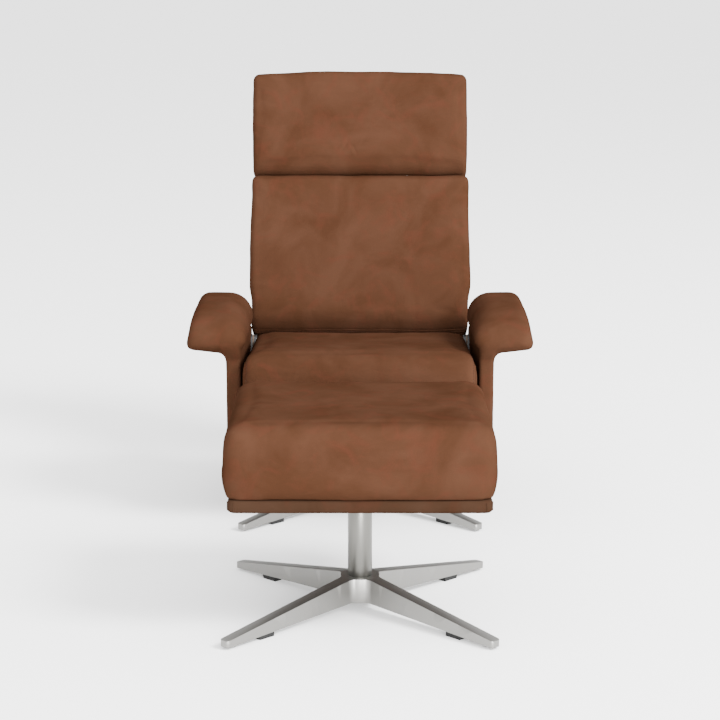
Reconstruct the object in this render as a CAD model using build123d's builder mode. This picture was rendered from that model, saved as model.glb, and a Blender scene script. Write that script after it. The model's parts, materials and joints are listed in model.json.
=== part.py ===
"""Swivel recliner armchair with its matching footstool.

A padded seat slides forward on two rods as the padded back reclines. Two flared arms stand
on side panels, a headrest tilts on top of the back, and the whole seat turns on a column
that stands on a cast four-leg star base. The footstool turns on a column and base of its own.

Lengths are millimetres. The chair faces -Y and +Z is up. Every piece is drawn with its own
column axis at X = Y = 0, and the finished set is centred over the origin at floor level.
"""

import os
from math import cos, hypot, radians, sin

from build123d import *

# ---------------------------------------------------------------- driving dimensions
column_spacing = 834  # chair column to footstool column
running_gap = 0.3  # between pieces that move past each other
press_gap = 0.05  # radial, between a shaft and its bush

# Star bases: a round hub with four straight legs that taper in depth
chair_leg_reach = 396  # column axis to leg end
stool_leg_reach = 373
hub_radius = 40
hub_bottom = 20
hub_top = 70
leg_tip_bottom = 5
leg_tip_top = 18
leg_width_hub = 31
leg_width_tip = 24
leg_corner = 7
crotch_radius = 18
pad_share = 0.72  # where a floor pad sits, as a share of the leg's reach
pad_length = 40
pad_width = 19

# Columns, bushes and spindles
column_radius = 25
column_bore = 20
spigot_radius = 19
spindle_radius = 14
bush_length = 28
bush_flange = 3
bearing_height = 5
bolt_radius = 6
spindle_flange_radius = 40
spindle_flange_height = 8
plate_thickness = 6

# Chair chassis
chassis_bottom = 197  # underside of the frame tubes
tube_size = 25
tube_wall = 2.5
front_tube_y = -150
rear_tube_y = 182
swivel_plate_half_width = 110
plate_bolt_inset = 30  # from the swivel plate's sides
plate_bolt_radius = 5
panel_bolt_radius = 4
head_clearance = 1.7  # between a bolt head and the tube beside it
end_plate_thickness = 6

# Seat
seat_half_width = 271
seat_front_y = -285
seat_rear_y = 196
seat_side_gap = 3  # to the frame's end plates
seat_front_thickness = 150  # cushion above its board
seat_rear_thickness = 117
seat_board_thickness = 24
board_side_setback = 13
board_end_setback = 8
board_edge = 6
rail_setback = 66  # side rail's middle, from the seat's side
rod_radius = 6
rod_half_span = 156
rod_height = 12  # rod axis above the side rails
bearing_block_height = 22
bearing_block_length = 40
bearing_block_centres = (-90, 40)
block_gap = 2  # under the seat board
rod_holder_length = 14
holder_wall = 3

# Side panels and arms
panel_thickness = 30
panel_drop = 5  # below the frame tubes
panel_front_y = -205
panel_rear_y = 285
panel_rear_top = 388
panel_board_thickness = 16
panel_board_inset = 14
panel_skin = 7
arm_width = 124
arm_overhang = 7  # pad inwards of the side panel
arm_top = 505
arm_tip_under = 424
arm_root_under = 411
arm_front_y = -226
arm_rear_y = 122
arm_board_thickness = 12
arm_board_margin = 28

# Back and headrest
back_tilt = 20  # degrees behind vertical at rest
back_height = 408
back_side_gap = 4  # to the side panels
back_foot_gap = 4  # behind the seat
back_rest_gap = 3  # above the seat
back_taper = 1.5
back_cushion_thickness = 92
back_board_thickness = 14
back_cover_thickness = 18
headrest_tilt = 12
headrest_height = 276
headrest_thickness = 100
headrest_inset = 1  # narrower than the back, each side
headrest_gap = 3
headrest_cover_thickness = 14
headrest_board_thickness = 10
headrest_board_foot = 14  # board's lower edge above the hinge axis
hinge_blade_x = 117  # inner face of a headrest post's blade
hinge_blade_thickness = 6
hinge_eye_radius = 9
hinge_pin_radius = 4
hinge_leaf_thickness = 3
hinge_clearance = 3  # round the hinge inside the padding

# Recline pivot and seat drive
pivot_depth = 37.3  # behind the back's front face
pivot_clearance = 3.5  # between the pivot eye and the back's lower edge
pivot_eye_radius = 17
recline_range = 30  # degrees
pivot_bolt_radius = 6
drive_arm = 50
drive_pin_radius = 6
drive_plate_thickness = 6
drive_plate_inset = 12  # between a drive plate and the blade beside it
slot_half_height = 4  # room for the pin above and below its middle place
blade_thickness = 6
washer_thickness = 3.7
knob_radius = 27
knob_depth = 20

# Footstool
stool_half_width = 263
stool_front_y = -238
stool_rear_y = 232
stool_board_bottom = 262
stool_board_thickness = 25
stool_board_setback = 7
stool_cushion_thickness = 147
stool_plate_half = 80
stool_bolt_offset = 55
stool_bolt_radius = 4

# ---------------------------------------------------------------- sizes that follow
chassis_top = chassis_bottom + tube_size
swivel_plate_bottom = chassis_bottom - plate_thickness
frame_half_width = seat_half_width + seat_side_gap
panel_inner_x = frame_half_width + end_plate_thickness
panel_outer_x = panel_inner_x + panel_thickness
panel_bottom = chassis_bottom - panel_drop
panel_bolt_offset = tube_size / 2 + panel_bolt_radius * 1.7 + head_clearance
arm_half_width = panel_inner_x + arm_width
arm_inner_x = panel_inner_x - arm_overhang
rail_x = seat_half_width - rail_setback
seat_board_bottom = chassis_top + bearing_block_height + block_gap
seat_board_top = seat_board_bottom + seat_board_thickness
seat_board_half_width = seat_half_width - board_side_setback
seat_front_top = seat_board_top + seat_front_thickness
seat_rear_top = seat_board_top + seat_rear_thickness
back_foot_y = seat_rear_y + back_foot_gap
back_foot_z = seat_rear_top + back_rest_gap
back_half_width_foot = panel_inner_x - back_side_gap
back_half_width_top = back_half_width_foot - back_taper
headrest_half_width = back_half_width_top - headrest_inset
stool_board_half_width = stool_half_width - stool_board_setback
stool_cushion_bottom = stool_board_bottom + stool_board_thickness
stool_top = stool_cushion_bottom + stool_cushion_thickness

parts = {}  # node name: list of solids, in the chair's own frame


def as_part(shape):
    """A builder's result as one plain solid, or as a compound where it has several."""
    solids = shape.solids()
    return solids[0] if len(solids) == 1 else Compound(children=list(solids))


def mirrored(shape):
    """The left-hand twin of a right-hand piece."""
    return mirror(shape, about=Plane.YZ)


def keep(name, *shapes):
    """Store finished solids under one node name."""
    parts[name] = [solid for shape in shapes for solid in shape.solids()]


def both_sides(name, shape):
    """Store a right-hand piece and its mirror image as two nodes."""
    keep("right_" + name, shape)
    keep("left_" + name, mirrored(shape))


def side_plane(x, y=0, z=0):
    """Plane that faces +X through a point; its sketches are drawn in Y and Z."""
    return Plane(origin=(x, y, z), x_dir=(0, 1, 0), z_dir=(1, 0, 0))


def front_plane(x=0, y=0, z=0):
    """Plane that faces -Y through a point; its sketches are drawn in X and Z."""
    return Plane(origin=(x, y, z), x_dir=(1, 0, 0), z_dir=(0, -1, 0))


def tilted_plane(y, z, tilt):
    """Plane on a padded front face: X across, local Y up the padding, and Z out of the face."""
    return Plane(origin=(0, y, z), x_dir=(1, 0, 0), z_dir=(0, -cos(radians(tilt)), sin(radians(tilt))))


back_plane = tilted_plane(back_foot_y, back_foot_z, back_tilt)
back_board_front = -back_cushion_thickness
back_cover_front = back_board_front - back_board_thickness
back_rear = back_cover_front - back_cover_thickness


def on_back(up, out):
    """(Y, Z) of a point: so far up the back from its foot, and so far out of its front face."""
    spot = back_plane.from_local_coords(Vector(0, up, out))
    return (spot.Y, spot.Z)


pivot_y, pivot_z = on_back(-pivot_eye_radius - pivot_clearance, -pivot_depth)


def disc_along_x(x, y, z, radius, length):
    """Plain round bar along X, used as a cutter."""
    with BuildPart() as bar:
        with BuildSketch(side_plane(x, y, z)):
            Circle(radius)
        extrude(amount=length)
    return as_part(bar.part)


# ---------------------------------------------------------------- star bases and columns
leg_turns = (45, 135, 225, 315)


def star_base(reach):
    """Cast base: the star's plan, cut to the side profile that a leg shows all round."""
    with BuildPart() as base:
        with BuildSketch():
            Circle(hub_radius)
            for turn in leg_turns:
                with BuildSketch(mode=Mode.PRIVATE) as leg:
                    with BuildLine():
                        Polyline(
                            (0, -leg_width_hub / 2),
                            (reach, -leg_width_tip / 2),
                            (reach, leg_width_tip / 2),
                            (0, leg_width_hub / 2),
                            close=True,
                        )
                    make_face()
                    fillet(leg.vertices().sort_by(Axis.X)[-2:], leg_corner)
                add(leg.sketch, rotation=turn)
        extrude(amount=hub_top)
        crotches = base.edges().filter_by(Axis.Z).filter_by(
            lambda edge: hypot(edge.center().X, edge.center().Y) < hub_radius + 1
        )
        fillet(crotches, crotch_radius)
        with BuildSketch(Plane.XZ):
            with BuildLine():
                Polyline(
                    (0, hub_bottom),
                    (0, hub_top),
                    (hub_radius, hub_top),
                    (reach + 1, leg_tip_top),
                    (reach + 1, leg_tip_bottom),
                    (hub_radius, hub_bottom),
                    close=True,
                )
            make_face()
        revolve(axis=Axis.Z, mode=Mode.INTERSECT)
        with Locations((0, 0, hub_top)):
            Hole(spigot_radius + press_gap)
    return as_part(base.part)


def leg_under_height(reach, radius):
    """Height of a leg's underside at a distance from the column."""
    share = (radius - hub_radius) / (reach + 1 - hub_radius)
    return hub_bottom - (hub_bottom - leg_tip_bottom) * share


def floor_pads(reach):
    """Four rubber pads, each cut to the slope of the leg that it carries."""
    inner = reach * pad_share - pad_length / 2
    outer = inner + pad_length
    pads = []
    for turn in leg_turns:
        along = (cos(radians(turn)), sin(radians(turn)), 0)
        across = (sin(radians(turn)), -cos(radians(turn)), 0)
        with BuildPart() as pad:
            with BuildSketch(Plane(origin=(0, 0, 0), x_dir=along, z_dir=across)):
                with BuildLine():
                    Polyline(
                        (inner, 0),
                        (outer - 3, 0),
                        (outer, leg_under_height(reach, outer) - press_gap),
                        (inner, leg_under_height(reach, inner) - press_gap),
                        close=True,
                    )
                make_face()
            extrude(amount=pad_width / 2, both=True)
        pads.append(as_part(pad.part))
    return Compound(children=pads)


def column(top):
    """Tube with a solid foot: a spigot in the hub, and a threaded hole for the base bolt."""
    foot_thickness = 6
    with BuildPart() as tube:
        with BuildSketch(Plane.XZ):
            with BuildLine():
                Polyline(
                    (bolt_radius + press_gap, hub_bottom + foot_thickness),
                    (spigot_radius, hub_bottom + foot_thickness),
                    (spigot_radius, hub_top),
                    (column_radius, hub_top),
                    (column_radius, top),
                    (column_bore, top),
                    (column_bore, hub_top + foot_thickness),
                    (bolt_radius + press_gap, hub_top + foot_thickness),
                    close=True,
                )
            make_face()
        revolve(axis=Axis.Z)
    return as_part(tube.part)


def lower_bush():
    """Plastic sleeve at the foot of the tube, around the spindle's end."""
    with BuildPart() as bush:
        with BuildSketch(Plane.XY.offset(hub_top + 6)):
            Circle(column_bore)
            Circle(spindle_radius + press_gap, mode=Mode.SUBTRACT)
        extrude(amount=bush_length)
    return as_part(bush.part)


def upper_bush(top):
    """Flanged plastic sleeve at the mouth of the tube."""
    with BuildPart() as bush:
        with BuildSketch(Plane.XY.offset(top)):
            Circle(column_radius - 1)
        extrude(amount=bush_flange)
        with BuildSketch(Plane.XY.offset(top)):
            Circle(column_bore)
        extrude(amount=-bush_length)
        with Locations((0, 0, top)):
            Hole(spindle_radius + press_gap)
    return as_part(bush.part)


def thrust_bearing(top):
    """Flat bearing ring between the column's mouth and the spindle's flange."""
    with BuildPart() as ring:
        with BuildSketch(Plane.XY.offset(top + bush_flange)):
            Circle(column_radius)
            Circle(spindle_radius + 2, mode=Mode.SUBTRACT)
        extrude(amount=bearing_height)
    return as_part(ring.part)


def spindle(top):
    """Turned steel spindle with the flange that carries the swivel plate."""
    flange_bottom = top + bush_flange + bearing_height
    end_clearance = 12
    with BuildPart() as shaft:
        with BuildSketch(Plane.XY.offset(flange_bottom)):
            Circle(spindle_flange_radius)
        extrude(amount=spindle_flange_height)
        with BuildSketch(Plane.XY.offset(flange_bottom)):
            Circle(spindle_radius)
        extrude(amount=hub_top + end_clearance - flange_bottom)
    return as_part(shaft.part)


def base_bolt():
    """Washer and hexagon bolt that draw the column's foot into the hub from below."""
    washer_thickness = 2
    head_height = 7
    with BuildPart() as washer:
        with BuildSketch(Plane.XY.offset(hub_bottom)):
            Circle(spigot_radius + 6)
            Circle(bolt_radius + press_gap, mode=Mode.SUBTRACT)
        extrude(amount=-washer_thickness)
    with BuildPart() as screw:
        with BuildSketch(Plane.XY.offset(hub_bottom - washer_thickness)):
            RegularPolygon(radius=11, side_count=6)
        extrude(amount=-head_height)
        with BuildSketch(Plane.XY.offset(hub_bottom - washer_thickness)):
            Circle(bolt_radius)
        extrude(amount=hub_top - hub_bottom)
    return Compound(children=[as_part(washer.part), as_part(screw.part)])


def column_top(plate_bottom):
    """Height of a column's mouth below the plate that its spindle carries."""
    return plate_bottom - spindle_flange_height - bearing_height - bush_flange


def column_set(prefix, reach, plate_bottom, shift_y=0):
    """Everything from the floor to the spindle for one column, stored under a prefix."""
    top = column_top(plate_bottom)
    made = {
        "star_base": star_base(reach),
        "floor_pads": floor_pads(reach),
        "column": column(top),
        "column_bolt": base_bolt(),
        "lower_bush": lower_bush(),
        "upper_bush": upper_bush(top),
        "thrust_bearing": thrust_bearing(top),
        "spindle": spindle(top),
    }
    for name, shape in made.items():
        keep(f"{prefix}_{name}", shape.moved(Location((0, shift_y, 0))))


def plate_bolts(points, plate_bottom, depth, radius):
    """Hexagon bolts with their heads under a plate, pointing up."""
    bolts = []
    for x, y in points:
        with BuildPart() as bolt:
            with BuildSketch(Plane.XY.offset(plate_bottom)):
                with Locations((x, y)):
                    RegularPolygon(radius=radius * 1.8, side_count=6)
            extrude(amount=-radius)
            with BuildSketch(Plane.XY.offset(plate_bottom)):
                with Locations((x, y)):
                    Circle(radius)
            extrude(amount=depth)
        bolts.append(as_part(bolt.part))
    return bolts


def bored_plate(bottom, size_x, size_y, centre_y, corner, points, hole_radius):
    """Flat steel plate with rounded corners and bolt holes."""
    with BuildPart() as plate:
        with BuildSketch(Plane.XY.offset(bottom)):
            with Locations((0, centre_y)):
                RectangleRounded(size_x, size_y, corner)
            with Locations(*points):
                Circle(hole_radius, mode=Mode.SUBTRACT)
        extrude(amount=plate_thickness)
    return as_part(plate.part)


column_set("chair", chair_leg_reach, swivel_plate_bottom)

# ---------------------------------------------------------------- chair chassis
plate_bolt_x = swivel_plate_half_width - plate_bolt_inset
plate_bolt_points = [(x, y) for x in (-plate_bolt_x, plate_bolt_x) for y in (front_tube_y, rear_tube_y)]
keep(
    "swivel_plate",
    bored_plate(
        swivel_plate_bottom,
        2 * swivel_plate_half_width,
        rear_tube_y - front_tube_y + 50,
        (front_tube_y + rear_tube_y) / 2,
        14,
        plate_bolt_points,
        plate_bolt_radius + running_gap,
    ),
)
keep(
    "swivel_plate_bolts",
    *plate_bolts(
        plate_bolt_points, swivel_plate_bottom, plate_thickness + tube_size - 4, plate_bolt_radius
    ),
)


def square_tube(plane, length):
    """Open square tube, run both ways from the plane that holds its section."""
    with BuildPart() as tube:
        with BuildSketch(plane):
            RectangleRounded(tube_size, tube_size, 3)
            Rectangle(tube_size - 2 * tube_wall, tube_size - 2 * tube_wall, mode=Mode.SUBTRACT)
        extrude(amount=length / 2, both=True)
    return as_part(tube.part)


tube_mid_z = chassis_bottom + tube_size / 2
for name, tube_y in (("front_cross_tube", front_tube_y), ("rear_cross_tube", rear_tube_y)):
    with BuildPart() as cross_tube:
        add(square_tube(side_plane(0, tube_y, tube_mid_z), 2 * frame_half_width))
        with BuildSketch(Plane.XY.offset(chassis_bottom - 1)):
            with Locations(*[point for point in plate_bolt_points if point[1] == tube_y]):
                Circle(plate_bolt_radius + running_gap)
        extrude(amount=tube_size - 2, mode=Mode.SUBTRACT)
    keep(name, as_part(cross_tube.part))

rail_length = rear_tube_y - front_tube_y - tube_size
side_rail = square_tube(front_plane(rail_x, (front_tube_y + rear_tube_y) / 2, tube_mid_z), rail_length)
keep("side_rails", side_rail, mirrored(side_rail))

# Nylon blocks on the side rails, bored for the rods that the seat slides on
rod_z = chassis_top + rod_height
blocks = []
for block_y in bearing_block_centres:
    with BuildPart() as block:
        with BuildSketch(front_plane(rail_x, block_y, chassis_top)):
            with Locations((0, bearing_block_height / 2)):
                Rectangle(tube_size, bearing_block_height)
            with Locations((0, rod_height)):
                Circle(rod_radius + press_gap, mode=Mode.SUBTRACT)
        extrude(amount=bearing_block_length / 2, both=True)
    blocks += [as_part(block.part), mirrored(as_part(block.part))]
keep("slide_bearing_blocks", *blocks)

# End plates join the cross tubes to the side panels; the rear pair carries the recline pivot
front_bolt_points = [(front_tube_y + side * panel_bolt_offset, tube_mid_z) for side in (-1, 1)]
rear_bolt_points = [(rear_tube_y + side * panel_bolt_offset, tube_mid_z) for side in (-1, 1)]

with BuildPart() as front_plate:
    with BuildSketch(side_plane(frame_half_width)):
        with Locations((front_tube_y, tube_mid_z)):
            RectangleRounded(2 * panel_bolt_offset + 22, tube_size, 5)
        with Locations(*front_bolt_points):
            Circle(panel_bolt_radius + running_gap, mode=Mode.SUBTRACT)
    extrude(amount=end_plate_thickness)
keep("front_end_plates", as_part(front_plate.part), mirrored(as_part(front_plate.part)))

with BuildPart() as pivot_plate:
    with BuildSketch(side_plane(frame_half_width)):
        with Locations((pivot_y, pivot_z)):
            Circle(pivot_eye_radius + 1)
        for end in (-1, 1):
            with Locations((rear_tube_y + end * (panel_bolt_offset + 1), chassis_bottom + 12)):
                Circle(12)
        make_hull()
        with Locations((pivot_y, pivot_z)):
            Circle(pivot_bolt_radius + running_gap, mode=Mode.SUBTRACT)
        with Locations(*rear_bolt_points):
            Circle(panel_bolt_radius + running_gap, mode=Mode.SUBTRACT)
    extrude(amount=end_plate_thickness)
both_sides("pivot_plate", as_part(pivot_plate.part))


def bolt_along_x(head_x, head_height, y, z, end_x, radius):
    """Hexagon bolt: its head starts at head_x, and its shank ends at end_x."""
    with BuildPart() as bolt:
        with BuildSketch(side_plane(head_x, y, z)):
            RegularPolygon(radius=radius * 1.7, side_count=6)
        extrude(amount=head_height)
        with BuildSketch(side_plane(head_x + head_height, y, z)):
            Circle(radius)
        extrude(amount=end_x - head_x - head_height)
    return as_part(bolt.part)


panel_board_inner_x = panel_inner_x + panel_skin
panel_bolt_end = panel_board_inner_x + panel_board_thickness - 3
panel_bolts = [
    bolt_along_x(frame_half_width - 5, 5, y, z, panel_bolt_end, panel_bolt_radius)
    for y, z in front_bolt_points + rear_bolt_points
]
keep("side_panel_bolts", *panel_bolts, *[mirrored(bolt) for bolt in panel_bolts])

# ---------------------------------------------------------------- side panels and arms
def panel_outline(inset, rear_corner):
    """Side view of a panel: upright front edge, and a top edge that falls to the rear corner."""
    with BuildSketch(mode=Mode.PRIVATE) as outline:
        with BuildLine():
            Polyline(
                (panel_front_y + inset, panel_bottom + inset),
                (panel_front_y + inset, arm_root_under + 22),
                (arm_rear_y - 14 - inset, arm_root_under + 22),
                (panel_rear_y - inset, panel_rear_top - inset),
                (panel_rear_y - inset, panel_bottom + inset),
                close=True,
            )
        make_face()
        fillet(outline.vertices().sort_by(Axis.X)[-2:], rear_corner)
        fillet(outline.vertices().sort_by(Axis.Y)[:2].sort_by(Axis.X)[:1], rear_corner)
    return outline.sketch


with BuildPart() as arm_pad:
    with BuildSketch(front_plane(y=arm_rear_y)):
        with BuildLine():
            Polyline(
                (panel_inner_x, arm_root_under - 16),
                (panel_inner_x, arm_root_under + 6),
                (arm_inner_x, arm_root_under + 20),
                (arm_inner_x, arm_top),
                (arm_half_width, arm_top),
                (arm_half_width, arm_tip_under),
                (panel_outer_x, arm_root_under),
                (panel_outer_x, arm_root_under - 16),
                close=True,
            )
        make_face()
        fillet(vertices().sort_by_distance((arm_inner_x, arm_top))[0], 44)
        fillet(vertices().sort_by_distance((arm_half_width, arm_top))[0], 28)
        fillet(vertices().sort_by_distance((arm_half_width, arm_tip_under))[0], 22)
    extrude(amount=arm_rear_y - arm_front_y)
    for end in (0, -1):
        end_face = arm_pad.faces().sort_by(Axis.Y)[end]
        fillet(end_face.edges().filter_by(lambda edge: edge.center().Z > arm_root_under - 6), 15)

with BuildPart() as side_panel:
    with BuildSketch(side_plane(panel_inner_x)):
        add(panel_outline(0, 30))
    extrude(amount=panel_thickness)

with BuildPart() as panel_board:
    with BuildSketch(side_plane(panel_board_inner_x)):
        add(panel_outline(panel_board_inset, 16))
    extrude(amount=panel_board_thickness)

panel_board_top = arm_root_under + 22
arm_board_outer_x = arm_half_width - arm_board_margin
with BuildPart() as arm_board:
    with BuildSketch(Plane.XY.offset(panel_board_top)):
        with Locations(((panel_board_inner_x + arm_board_outer_x) / 2, (arm_front_y + arm_rear_y) / 2)):
            RectangleRounded(
                arm_board_outer_x - panel_board_inner_x,
                arm_rear_y - arm_front_y - 2 * arm_board_margin,
                12,
            )
    extrude(amount=arm_board_thickness)
both_sides("arm_board", as_part(arm_board.part))

bolt_holes = [
    disc_along_x(panel_inner_x - 1, y, z, panel_bolt_radius + press_gap, panel_bolt_end - panel_inner_x + 2)
    for y, z in front_bolt_points + rear_bolt_points
]
pivot_hole = disc_along_x(
    panel_inner_x - 1, pivot_y, pivot_z, pivot_bolt_radius + running_gap, panel_thickness + 2
)
with BuildPart() as bored_board:
    add(as_part(panel_board.part))
    for hole in [*bolt_holes, pivot_hole]:
        add(hole, mode=Mode.SUBTRACT)
both_sides("side_panel_board", as_part(bored_board.part))

with BuildPart() as arm_cover:
    add(as_part(arm_pad.part))
    add(as_part(side_panel.part))
    for inner in [as_part(panel_board.part), as_part(arm_board.part), *bolt_holes, pivot_hole]:
        add(inner, mode=Mode.SUBTRACT)
both_sides("arm_cover", as_part(arm_cover.part))


# ---------------------------------------------------------------- cushions and boards
def cushion(front_y, rear_y, bottom_z, front_top, rear_top, half_width, front_round, side_round):
    """Padded block: its side view run across, with soft edges round the front and top."""
    with BuildPart() as block:
        with BuildSketch(Plane.YZ):
            with BuildLine():
                Polyline(
                    (front_y + 6, bottom_z),
                    (front_y, bottom_z + 60),
                    (front_y, front_top),
                    (rear_y, rear_top),
                    (rear_y, bottom_z),
                    close=True,
                )
            make_face()
            fillet(vertices().sort_by_distance((front_y, front_top))[0], front_round)
        extrude(amount=half_width, both=True)
        soft_edges = block.edges().filter_by(
            lambda edge: abs(abs(edge.center().X) - half_width) < 1
            and edge.center().Z > bottom_z + 10
            and edge.center().Y < rear_y - 1
        )
        fillet(soft_edges, side_round)
    return as_part(block.part)


def padded_board(bottom_z, thickness, half_width, front_y, rear_y, corner):
    """Leather-wrapped plywood board with a softened lower edge."""
    with BuildPart() as board:
        with BuildSketch(Plane.XY.offset(bottom_z)):
            with Locations((0, (front_y + rear_y) / 2)):
                RectangleRounded(2 * half_width, rear_y - front_y, corner)
        extrude(amount=thickness)
        fillet(board.faces().sort_by(Axis.Z)[0].edges(), board_edge)
    return as_part(board.part)


# ---------------------------------------------------------------- seat
keep(
    "seat_cushion",
    cushion(
        seat_front_y,
        seat_rear_y,
        seat_board_top,
        seat_front_top,
        seat_rear_top,
        seat_half_width,
        front_round=55,
        side_round=28,
    ),
)
keep(
    "seat_board",
    padded_board(
        seat_board_bottom,
        seat_board_thickness,
        seat_board_half_width,
        seat_front_y + board_end_setback,
        seat_rear_y - board_end_setback,
        corner=12,
    ),
)

with BuildPart() as rod:
    with BuildSketch(front_plane(rail_x, rod_half_span, rod_z)):
        Circle(rod_radius)
    extrude(amount=2 * rod_half_span)
keep("glide_rods", as_part(rod.part), mirrored(as_part(rod.part)))

holder_height = rod_radius + holder_wall + seat_board_bottom - rod_z
holders = []
for side in (-1, 1):
    with BuildPart() as holder:
        with BuildSketch(front_plane(rail_x, side * (rod_half_span - rod_holder_length / 2), rod_z)):
            with Locations((0, holder_height / 2 - rod_radius - holder_wall)):
                Rectangle(tube_size, holder_height)
            Circle(rod_radius, mode=Mode.SUBTRACT)
        extrude(amount=rod_holder_length / 2, both=True)
    holders += [as_part(holder.part), mirrored(as_part(holder.part))]
keep("rod_holders", *holders)

# ---------------------------------------------------------------- recline pivot and seat drive
washer_inner_x = frame_half_width - washer_thickness
blade_outer_x = washer_inner_x - running_gap
blade_inner_x = blade_outer_x - blade_thickness
half_swing = radians(recline_range / 2)
drive_y = pivot_y + drive_arm * sin(half_swing)
drive_z = pivot_z - drive_arm * cos(half_swing)
drive_plate_outer_x = blade_inner_x - drive_plate_inset
drive_plate_inner_x = drive_plate_outer_x - drive_plate_thickness
drive_plate_rise = slot_half_height + drive_pin_radius + 6

with BuildPart() as drive_plate:
    with BuildSketch(side_plane(drive_plate_inner_x)):
        with BuildLine():
            Polyline(
                (seat_rear_y - 70, seat_board_bottom),
                (seat_rear_y + 4, seat_board_bottom),
                (drive_y - 18, seat_board_bottom + 20),
                (drive_y - 18, drive_z + drive_plate_rise),
                (drive_y + 18, drive_z + drive_plate_rise),
                (drive_y + 18, seat_board_bottom - 4),
                (seat_rear_y, seat_board_bottom - 24),
                (seat_rear_y - 70, seat_board_bottom - 10),
                close=True,
            )
        make_face()
        with Locations((drive_y, drive_z)):
            SlotOverall(
                2 * (slot_half_height + drive_pin_radius),
                2 * (drive_pin_radius + running_gap),
                rotation=90,
                mode=Mode.SUBTRACT,
            )
    extrude(amount=drive_plate_thickness)
keep("seat_drive_plates", as_part(drive_plate.part), mirrored(as_part(drive_plate.part)))

pin_start_x = drive_plate_inner_x - 3
drive_pin = disc_along_x(pin_start_x, drive_y, drive_z, drive_pin_radius, blade_inner_x - pin_start_x)
keep("drive_pins", drive_pin, mirrored(drive_pin))

with BuildPart() as friction_washer:
    with BuildSketch(side_plane(washer_inner_x, pivot_y, pivot_z)):
        Circle(pivot_eye_radius)
        Circle(pivot_bolt_radius + press_gap, mode=Mode.SUBTRACT)
    extrude(amount=washer_thickness)
keep("friction_washers", as_part(friction_washer.part), mirrored(as_part(friction_washer.part)))

knob_inner_x = panel_outer_x + 1
pivot_head_height = 6
pivot_bolt = bolt_along_x(
    blade_inner_x - running_gap - pivot_head_height,
    pivot_head_height,
    pivot_y,
    pivot_z,
    knob_inner_x + knob_depth - 6,
    pivot_bolt_radius,
)
keep("pivot_bolts", pivot_bolt, mirrored(pivot_bolt))

with BuildPart() as knob:
    with BuildSketch(side_plane(knob_inner_x, pivot_y, pivot_z)):
        Circle(knob_radius)
        with PolarLocations(knob_radius + 3, 8):
            Circle(6, mode=Mode.SUBTRACT)
        fillet(vertices(), 1.5)
    extrude(amount=knob_depth)
    fillet(knob.faces().sort_by(Axis.X)[-1].edges(), 2.5)
    with BuildSketch(side_plane(knob_inner_x, pivot_y, pivot_z)):
        Circle(pivot_bolt_radius + press_gap)
    extrude(amount=knob_depth - 5.5, mode=Mode.SUBTRACT)
both_sides("tension_knob", as_part(knob.part))


# ---------------------------------------------------------------- back
def padded_slab(plane, foot_half_width, top_half_width, foot, top, front, thickness, corner, edge):
    """Slab with straight sides that starts at a depth in front of a plane and runs back."""
    with BuildPart() as slab:
        with BuildSketch(plane.offset(front)):
            with BuildLine():
                Polyline(
                    (-foot_half_width, foot),
                    (foot_half_width, foot),
                    (top_half_width, top),
                    (-top_half_width, top),
                    close=True,
                )
            make_face()
            fillet(vertices(), corner)
        extrude(amount=-thickness)
        if edge:
            out = Axis((0, 0, 0), plane.z_dir)
            fillet(slab.faces().sort_by(out)[-1].edges(), edge)
    return as_part(slab.part)


keep(
    "back_cushion",
    padded_slab(
        back_plane,
        back_half_width_foot,
        back_half_width_top,
        0,
        back_height,
        front=0,
        thickness=back_cushion_thickness,
        corner=10,
        edge=16,
    ),
)

# Steel brackets: a foot plate behind the board, and a blade down to the pivot and the drive pin
bracket_plate_thickness = 4
bracket_plate_width = 46
bracket_plate_top = 150
bracket_plate_foot = -14
bracket_rear = back_cover_front - bracket_plate_thickness
with BuildPart() as bracket:
    with BuildSketch(back_plane.offset(back_cover_front)):
        with Locations(
            (blade_outer_x - bracket_plate_width / 2, (bracket_plate_top + bracket_plate_foot) / 2)
        ):
            Rectangle(bracket_plate_width, bracket_plate_top - bracket_plate_foot)
    extrude(amount=-bracket_plate_thickness)
    blade_stations = [
        (on_back(44, back_cover_front - 8), 8),
        (on_back(-22, back_cover_front - 6), 10),
        ((pivot_y, pivot_z), pivot_eye_radius),
        ((drive_y, drive_z), drive_pin_radius + 6),
    ]
    for (near, near_radius), (far, far_radius) in zip(blade_stations, blade_stations[1:]):
        with BuildSketch(side_plane(blade_inner_x)):
            with Locations(near):
                Circle(near_radius)
            with Locations(far):
                Circle(far_radius)
            make_hull()
        extrude(amount=blade_thickness)
    with BuildSketch(side_plane(blade_inner_x - 1, pivot_y, pivot_z)):
        Circle(pivot_bolt_radius + press_gap)
    extrude(amount=blade_thickness + 2, mode=Mode.SUBTRACT)
bracket_shape = as_part(bracket.part)
both_sides("back_bracket", bracket_shape)

screw_depth = 9


def back_screw(x, up, seat_out, head_radius=6, shank_radius=3, head_height=3):
    """Screw driven forwards into the back board, with its head on a plate behind the board."""
    with BuildPart() as screw:
        with BuildSketch(back_plane.offset(seat_out)):
            with Locations((x, up)):
                Circle(head_radius)
        extrude(amount=-head_height)
        with BuildSketch(back_plane.offset(seat_out)):
            with Locations((x, up)):
                Circle(shank_radius)
        extrude(amount=back_cover_front - seat_out + screw_depth)
    return as_part(screw.part)


def without(shape, cutters):
    """A piece with other pieces' solids cut out of it."""
    with BuildPart() as cut:
        add(shape)
        for cutter in cutters:
            add(cutter, mode=Mode.SUBTRACT)
    return as_part(cut.part)


bracket_screw_x = blade_outer_x - bracket_plate_width / 2 - 8
bracket_screws = [back_screw(bracket_screw_x, up, bracket_rear) for up in (25, 72, 120)]
bracket = without(as_part(bracket.part), bracket_screws)
both_sides("back_bracket", bracket)

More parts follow.
